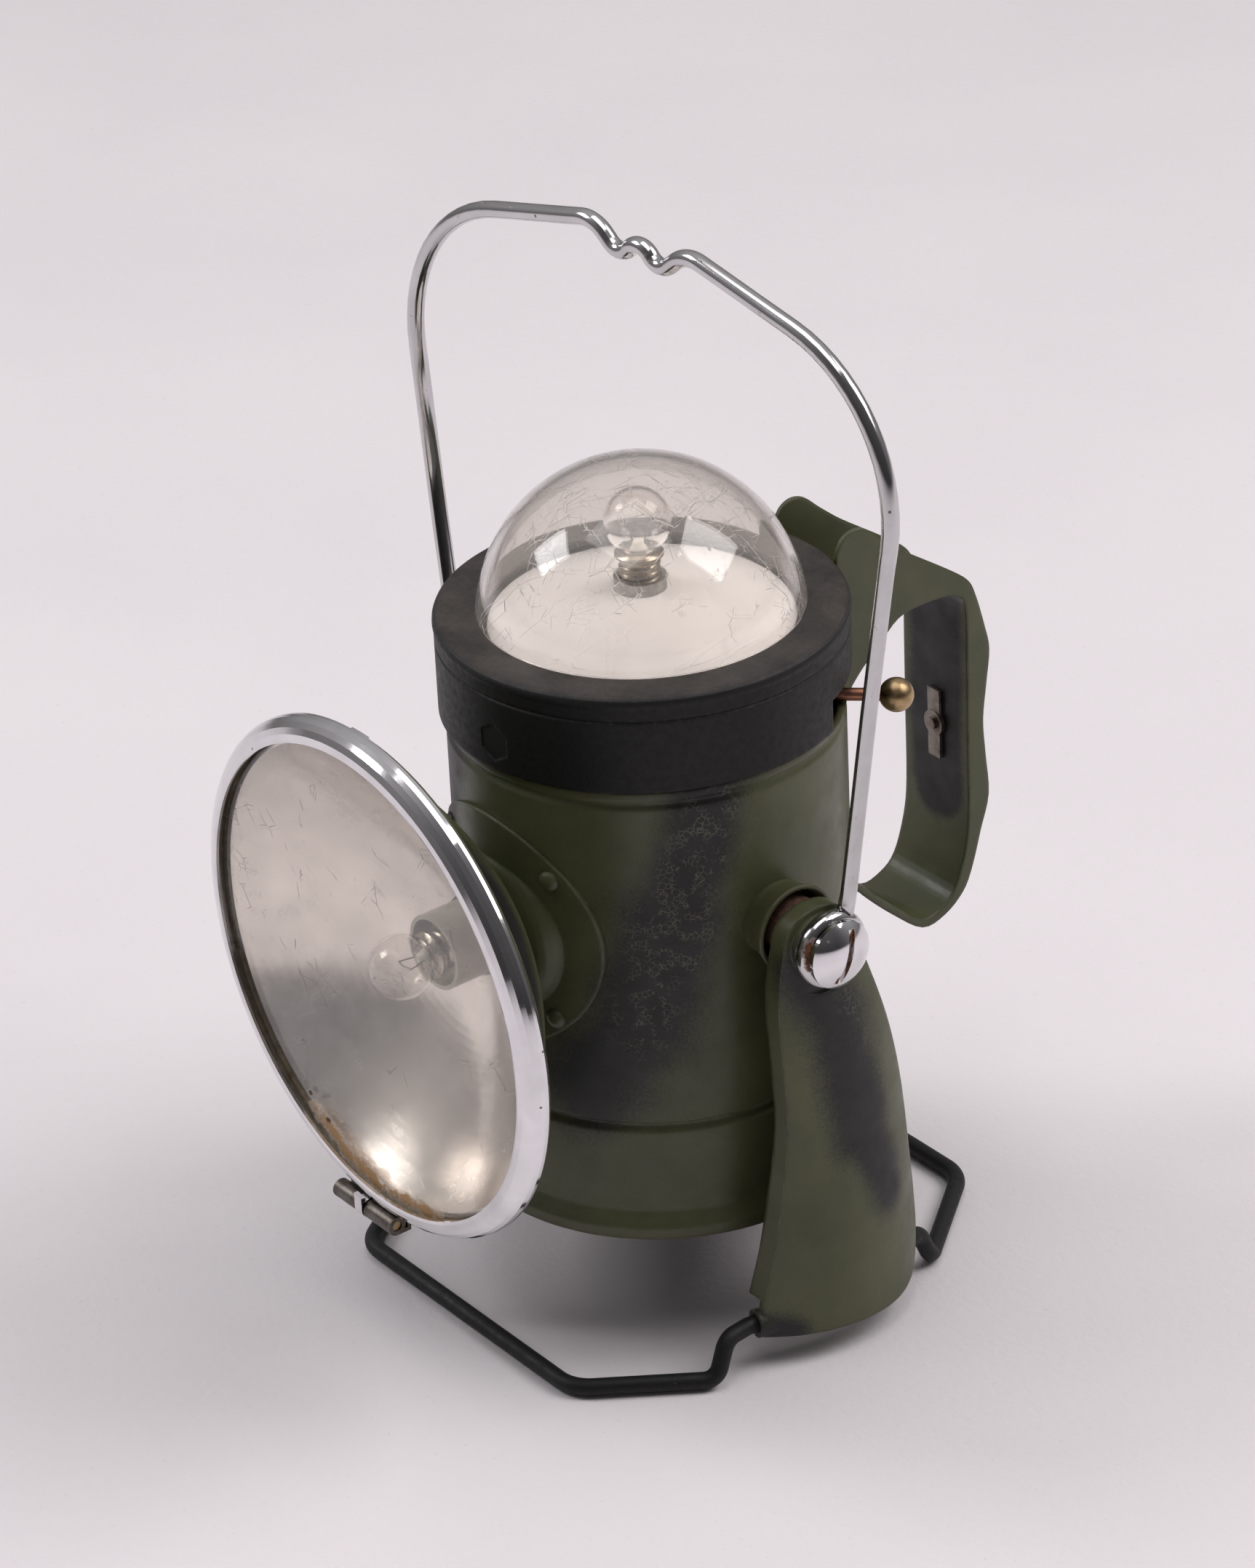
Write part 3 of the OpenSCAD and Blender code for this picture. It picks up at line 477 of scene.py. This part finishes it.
def finish_painted():
    wear(sprayed_paint("body_paint", BODY_BANDS, crackle=BODY_CRACKLE),
         "body_shell", "headlight_flange", "flange_rivets", "handle_rivets")
    wear(sprayed_paint("cup_paint", CUP_BANDS, chips=0), "pivot_cup_right", "pivot_cup_left")
    wear(sprayed_paint("shell_paint", SHELL_BANDS), "headlight_shell")
    wear(sprayed_paint("arm_paint", ARM_BANDS, crackle=ARM_CRACKLE), "arm_right", "arm_left")
    wear(sprayed_paint("strap_paint", STRAP_BANDS, chips=0.6), "strap_handle")
    wear(black_paint("cap_paint"), "cap")
    wear(black_paint("base_paint", dust=False), "base_plate")
    wear(black_paint("wire_paint", dust=False, rust=WIRE_RUST), "foot_wire")


def finish_metal():
    wear(plated("rim_plate"), "bezel")
    wear(plated("bezel_knuckles_plate"), "bezel_knuckles")
    wear(plated("bezel_catch_plate"), "bezel_catch")
    wear(plated("screw_plate", rust=SLOT_RUST), "pivot_screw_right", "pivot_screw_left")
    wear(plated("reflector_plate", base=(0.86, 0.80, 0.76), rough=(0.14, 0.30), pits=0), "reflector")
    wear(plain_metal("dull_steel", (0.50, 0.49, 0.48)), "centre_post", "dome_socket", "battery_tray",
         "dome_retainer", "pivot_nut_right", "pivot_nut_left")
    wear(plain_metal("old_steel", (0.17, 0.155, 0.14), (0.34, 0.50), (0.060, 0.038, 0.022), 0.75),
         "hinge_tube")
    wear(plain_metal("clip_steel", (0.30, 0.27, 0.24), (0.32, 0.5), (0.10, 0.05, 0.03), 0.8),
         "handle_clip")
    wear(plain_metal("old_brass", (0.46, 0.33, 0.18), dirt=(0.16, 0.10, 0.055)),
         "hinge_pin", "contact_strip", "switch_ball")
    wear(plain_metal("copper_rod", (0.42, 0.20, 0.13), dirt=(0.16, 0.08, 0.06)), "switch_rod")


def finish_dull():
    wear(dull("pale_fibre", (0.42, 0.38, 0.33), (0.55, 0.51, 0.45), 0.38, 200), "bulb_holder")
    wear(dull("brown_fibre", (0.055, 0.028, 0.018), (0.12, 0.062, 0.04)),
         "chassis_plate", "switch_hub", "pivot_washer_right", "pivot_washer_left")
    wear(dull("white_enamel", (0.68, 0.665, 0.67), (0.73, 0.715, 0.72), 0.14, 60, 0.6),
         "dome_reflector")
    wear(dull("black_rubber", (0.012, 0.012, 0.012), (0.03, 0.028, 0.027), 0.75),
         "dome_gasket", "headlight_wire", "dome_wire")
    wear(dull("pale_gasket", (0.20, 0.16, 0.11), (0.40, 0.35, 0.28), 0.6, 300), "lens_gasket")
    wear(dull("battery_card", (0.28, 0.20, 0.06), (0.42, 0.31, 0.10), 0.5, 300),
         "battery_front", "battery_rear")


def finish_glass():
    wear(scratched_clear("dome_clear", (0.975, 0.955, 0.93), DOME_SCRATCHES, milk=0.07), "dome")
    wear(scratched_clear("lens_clear", (0.97, 0.955, 0.92), LENS_SCRATCHES,
                         stains=LENS_STAINS, spots=LENS_SPOTS), "lens")
    bulb = Shader("bulb_glass", base_color=(0.98, 0.965, 0.95), roughness=0.01,
                  transmission_weight=1.0, ior=1.47)
    lit_through(bulb, (0.96, 0.95, 0.94))
    wear(bulb, "dome_bulb", "headlight_bulb")


# ---------------------------------------------------------------- pieces

def mesh_piece(name, points, faces, body, material, stands_for=None):
    """A smooth-shaded mesh piece (points in mm) that rides on a body."""
    data = bpy.data.meshes.new(name)
    data.from_pydata([tuple(c * MM for c in p) for p in points], [], faces)
    data.update()
    for polygon in data.polygons:
        polygon.use_smooth = True
    obj = bpy.data.objects.new(name, data)
    bpy.context.scene.collection.objects.link(obj)
    data.materials.append(material)
    if stands_for:
        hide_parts(stands_for)
    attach(obj, body)
    return obj


def swept(path, section, side_hint):
    """Points and faces of a bar along path. section(i) gives the ring's (side, up) places."""
    points = []
    faces = []
    count = len(path)
    ring = len(section(0))
    for i in range(count):
        before = path[max(i - 1, 0)]
        after = path[min(i + 1, count - 1)]
        ahead = (after - before).normalized()
        side = (side_hint - ahead * side_hint.dot(ahead)).normalized()
        other = ahead.cross(side)
        for a, b in section(i):
            points.append(path[i] + side * a + other * b)
    for i in range(count - 1):
        low = i * ring
        high = low + ring
        for k in range(ring):
            n = (k + 1) % ring
            faces.append((low + k, low + n, high + n, high + k))
    faces.append(tuple(reversed(range(ring))))
    faces.append(tuple(range((count - 1) * ring, count * ring)))
    return points, faces


def joined(parts):
    """Points and faces of several parts as one mesh."""
    points = []
    faces = []
    for part_points, part_faces in parts:
        start = len(points)
        points.extend(part_points)
        faces.extend(tuple(v + start for v in face) for face in part_faces)
    return points, faces


def soft_box(half_side, half_up, power, count=28):
    """Ring of a bar's section: power 1 is an ellipse, smaller is squarer."""
    ring = []
    for k in range(count):
        angle = math.tau * k / count
        c, s = math.cos(angle), math.sin(angle)
        ring.append((
            half_side * math.copysign(abs(c) ** power, c),
            half_up * math.copysign(abs(s) ** power, s),
        ))
    return ring


def turned(profile, axis_point, axis, count=72):
    """Points and faces of a closed (radius, height) profile turned about an axis."""
    axis = Vector(axis).normalized()
    first = axis.orthogonal().normalized()
    second = axis.cross(first)
    points = []
    faces = []
    ring = len(profile)
    for i in range(count):
        angle = math.tau * i / count
        out = first * math.cos(angle) + second * math.sin(angle)
        for radius, height in profile:
            points.append(Vector(axis_point) + out * radius + axis * height)
    for i in range(count):
        low = i * ring
        high = ((i + 1) % count) * ring
        for k in range(ring):
            n = (k + 1) % ring
            faces.append((low + k, high + k, high + n, low + n))
    return points, faces


PIVOT_Z = 105.3
EYE_X = 64.1
BAIL_TOP = 147.5
BAIL_LEAN = math.radians(-1.4)
BAIL_TWIST = math.radians(5)
BAIL_HUMP = (4.5, -48)
# Half the bail from its middle hump to a leg: (bend radius, signed degrees), or (0, straight length)
BAIL_TURNS = [(4.2, 48), (5, 40), (0, 2), (9, -53), (0, 29.4), (37.6, -85.5), (0, 5)]
LEG_FOOT_Z = 12.5
LEG_STEPS = 30


def bail_half():
    """Centre line of half the bail from its middle hump to the foot of a leg, as (sideways, height)."""
    x, z, heading = 0.0, BAIL_TOP, 0.0
    line = [(x, z)]
    for radius, amount in [BAIL_HUMP] + BAIL_TURNS:
        steps = 14 if radius else 6
        for _ in range(steps):
            if radius:
                turn = math.radians(amount / steps)
                chord = 2 * radius * math.sin(abs(turn) / 2)
                heading += turn / 2
                x += chord * math.cos(heading)
                z += chord * math.sin(heading)
                heading += turn / 2
            else:
                x += amount / steps * math.cos(heading)
                z += amount / steps * math.sin(heading)
            line.append((x, z))
    start = line[-1]
    for i in range(1, LEG_STEPS + 1):
        share = i / LEG_STEPS
        line.append((start[0] + (EYE_X - start[0]) * share, start[1] + (LEG_FOOT_Z - start[1]) * share))
    return line


def make_bail(material):
    """The bail as one smooth bar, round at the top and flat down the legs, with an eye at each end."""
    turn = Matrix.Rotation(BAIL_LEAN, 4, "X") @ Matrix.Rotation(BAIL_TWIST, 4, "Z")
    half = bail_half()
    line = [Vector((-x, 0, z)) for x, z in reversed(half)]
    line += [Vector((x, 0, z)) for x, z in half[1:]]
    placed = []
    for p in line:
        off_centre = 0.7 * min(max((p.z - 60) / 60, 0), 1)
        placed.append(turn @ (p + Vector((off_centre, 0, 0))))
    foot_right = Vector((EYE_X, 4.2, 6.6))
    foot_left = Vector((-EYE_X, -4.2, 6.6))
    placed = [foot_left, (foot_left + placed[0]) / 2] + placed
    placed += [(foot_right + placed[-1]) / 2, foot_right]
    placed = [p + Vector((0, 0, PIVOT_Z)) for p in placed]

    def section(i):
        above = placed[i].z - PIVOT_Z
        flat = min(max((104 - above) / 12, 0), 1) * min(max((above - 7) / 5, 0), 1)
        flat = flat * flat * (3 - 2 * flat)
        return soft_box(2.0 + 0.2 * flat, 2.0 - 1.02 * flat, 1 - 0.42 * flat)

    eye = [(6.78 + a, b) for a, b in soft_box(2.58, 2.25, 0.80)]
    parts = [swept(placed, section, turn @ Vector((0, 1, 0)))]
    parts += [turned(eye, (way * EYE_X, 0, PIVOT_Z), (1, 0, 0)) for way in (-1, 1)]
    points, faces = joined(parts)
    mesh_piece("bail_smooth", points, faces, "bail", material, "bail")


def lamp_point(forward):
    """A point in mm on the headlight's axis, by its distance forward from the bezel's rear edge."""
    droop = math.radians(1.1)
    return Vector((0, -77 - forward * math.cos(droop), 100.2 - forward * math.sin(droop)))


def threaded_cap(name, node, base, axis, body, material):
    """A bulb's screw base: a rolled thread, a soldered tip and a collar under the glass."""
    points = []
    faces = []
    axis = Vector(axis).normalized()
    first = axis.orthogonal().normalized()
    second = axis.cross(first)
    around = 60
    rows = 90
    for row in range(rows + 1):
        height = -1 + 10.4 * row / rows
        for k in range(around):
            angle = math.tau * k / around
            wave = math.cos(math.tau * height / 1.75 - angle)
            radius = 4.52 + 0.22 * wave
            if height < -0.2:
                radius = 1.5 + (height + 1) * 0.6
            elif height < 0.9:
                radius = 2.0 + 2.4 * ((height + 0.2) / 1.1) ** 0.6
            elif height > 8.2:
                radius = 4.6 + min((height - 8.2) / 0.6, 1) * 0.95
            points.append(Vector(base) + axis * height + (
                first * math.cos(angle) + second * math.sin(angle)) * radius)
    for row in range(rows):
        for k in range(around):
            n = (k + 1) % around
            a = row * around
            faces.append((a + k, a + n, a + around + n, a + around + k))
    faces.append(tuple(reversed(range(around))))
    faces.append(tuple(range(rows * around, (rows + 1) * around)))
    mesh_piece(name, points, faces, body, material, node)


def filament(name, base, axis, across, body, wire, bead):
    """The glass bead, the two support wires and the coil inside a bulb."""
    axis = Vector(axis).normalized()
    across = Vector(across).normalized()
    base = Vector(base)
    parts = []
    for way in (-1, 1):
        post = [base + axis * (9.6 + 0.8 * i) + across * way * (0.9 + 0.18 * i) for i in range(9)]
        parts.append(swept(post, lambda i: soft_box(0.17, 0.17, 1, 8), axis.cross(across)))
    coil = []
    for i in range(81):
        share = i / 80
        angle = math.tau * share * 9
        coil.append(base + axis * (15.9 + 0.5 * math.sin(math.pi * share) + 0.22 * math.cos(angle))
                    + across * (share * 4.6 - 2.3) + axis.cross(across) * 0.22 * math.sin(angle))
    parts.append(swept(coil, lambda i: soft_box(0.07, 0.07, 1, 6), axis.cross(across)))
    points, faces = joined(parts)
    mesh_piece(name + "_filament", points, faces, body, wire, None)
    profile = [(0.02, 9.2), (2.3, 9.2), (2.0, 10.2), (1.5, 11.0), (1.35, 11.9), (1.0, 12.3), (0.02, 12.4)]
    points, faces = turned(profile, base, axis, 32)
    mesh_piece(name + "_bead", points, faces, body, bead, None)


def make_bulb(name, base, axis, across, metal, wire, bead):
    """The threaded base and the inside of one bulb. base is where the screw base starts, in mm."""
    body = NODES[name + "_bulb"]["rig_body"]
    threaded_cap(name + "_bulb_thread", name + "_bulb_base", base, axis, body, metal)
    filament(name, base, axis, across, body, wire, bead)


DOME_BULB_Z = 170.2
HEADLIGHT_BULB_BACK = -24


def make_pieces():
    plate = plated("bail_plate", base=(0.60, 0.59, 0.60), rough=(0.07, 0.17), rust=BAIL_RUST)
    make_bail(plate.material)
    tin = plain_metal("bulb_tin", (0.52, 0.47, 0.40), (0.20, 0.34), (0.14, 0.09, 0.05), 0.55).material
    wire = plain_metal("filament_wire", (0.32, 0.31, 0.30)).material
    bead = dull("bulb_bead", (0.62, 0.60, 0.56), (0.74, 0.72, 0.68), 0.25).material
    make_bulb("dome", (0, 0, DOME_BULB_Z), (0, 0, 1), (0.8, 0.6, 0), tin, wire, bead)
    forward = lamp_point(1) - lamp_point(0)
    make_bulb("headlight", lamp_point(HEADLIGHT_BULB_BACK), forward, (1, 0, 0), tin, wire, bead)


# ---------------------------------------------------------------- surroundings

def make_floor():
    bpy.ops.mesh.primitive_plane_add(size=12, location=(0, 0, -0.0003))
    floor = bpy.context.object
    floor.name = "floor"
    s = Shader("floor_paint", specular_ior_level=0.3)
    tone = s.mix(s.spread(s.noise(7, 4), 0.35, 0.65), (0.790, 0.748, 0.768), (0.82, 0.780, 0.798))
    tone = s.mix(s.spread(s.noise(600, 2), 0.66, 0.78, 0, 0.35), tone, (0.60, 0.57, 0.585))
    s.set(base_color=tone, roughness=0.55, normal=s.bump(s.noise(420, 5, 0.6), 0.35, 0.0006))
    floor.data.materials.append(s.material)


def area_light(name, place, aim, size, power, colour):
    data = bpy.data.lights.new(name, "AREA")
    data.shape = "RECTANGLE"
    data.size = size
    data.size_y = size
    data.energy = power
    data.color = colour
    light = bpy.data.objects.new(name, data)
    light.location = place
    light.rotation_euler = (Vector(aim) - Vector(place)).to_track_quat("-Z", "Y").to_euler()
    bpy.context.scene.collection.objects.link(light)


def make_light():
    world = bpy.data.worlds.new("studio")
    bpy.context.scene.world = world
    world.use_nodes = True
    tree = world.node_tree
    tree.nodes.clear()
    out = tree.nodes.new("ShaderNodeOutputWorld")
    back = tree.nodes.new("ShaderNodeBackground")
    coords = tree.nodes.new("ShaderNodeTexCoord")
    parts = tree.nodes.new("ShaderNodeSeparateXYZ")
    ramp = tree.nodes.new("ShaderNodeValToRGB")
    tree.links.new(coords.outputs["Generated"], parts.inputs[0])
    tree.links.new(parts.outputs[2], ramp.inputs[0])
    towards = tree.nodes.new("ShaderNodeVectorMath")
    towards.operation = "DOT_PRODUCT"
    tree.links.new(coords.outputs["Generated"], towards.inputs[0])
    towards.inputs[1].default_value = (0.80, -0.55, 0.25)
    shade = tree.nodes.new("ShaderNodeMapRange")
    shade.interpolation_type = "SMOOTHSTEP"
    tree.links.new(towards.outputs["Value"], shade.inputs[0])
    for socket, value in zip(list(shade.inputs)[1:5], (-0.1, 0.75, 1.0, 0.22)):
        socket.default_value = value
    scaled = tree.nodes.new("ShaderNodeVectorMath")
    scaled.operation = "SCALE"
    tree.links.new(ramp.outputs[0], scaled.inputs[0])
    tree.links.new(shade.outputs[0], scaled.inputs["Scale"])
    tree.links.new(scaled.outputs[0], back.inputs[0])
    tree.links.new(back.outputs[0], out.inputs[0])
    stops = ramp.color_ramp.elements
    stops[0].position = 0.0
    stops[0].color = (0.30, 0.285, 0.29, 1)
    stops[1].position = 0.9
    stops[1].color = (0.86, 0.84, 0.85, 1)
    middle = stops.new(0.35)
    middle.color = (0.55, 0.53, 0.54, 1)
    back.inputs[1].default_value = 0.60
    area_light("key_box", (0.9, 1.1, 1.7), (0, 0, 0.1), 1.2, 22, (1.0, 0.97, 0.975))
    area_light("front_box", (-1.3, -1.2, 1.5), (0, 0, 0.1), 0.8, 15, (0.98, 0.975, 1.0))
    area_light("top_box", (0.0, -0.2, 2.2), (0, 0, 0), 1.5, 14, (1.0, 0.98, 0.99))


# ---------------------------------------------------------------- the whole

make_camera()
make_floor()
make_light()
finish_painted()
finish_metal()
finish_dull()
finish_glass()
make_pieces()

bpy.context.scene.view_settings.view_transform = "Standard"
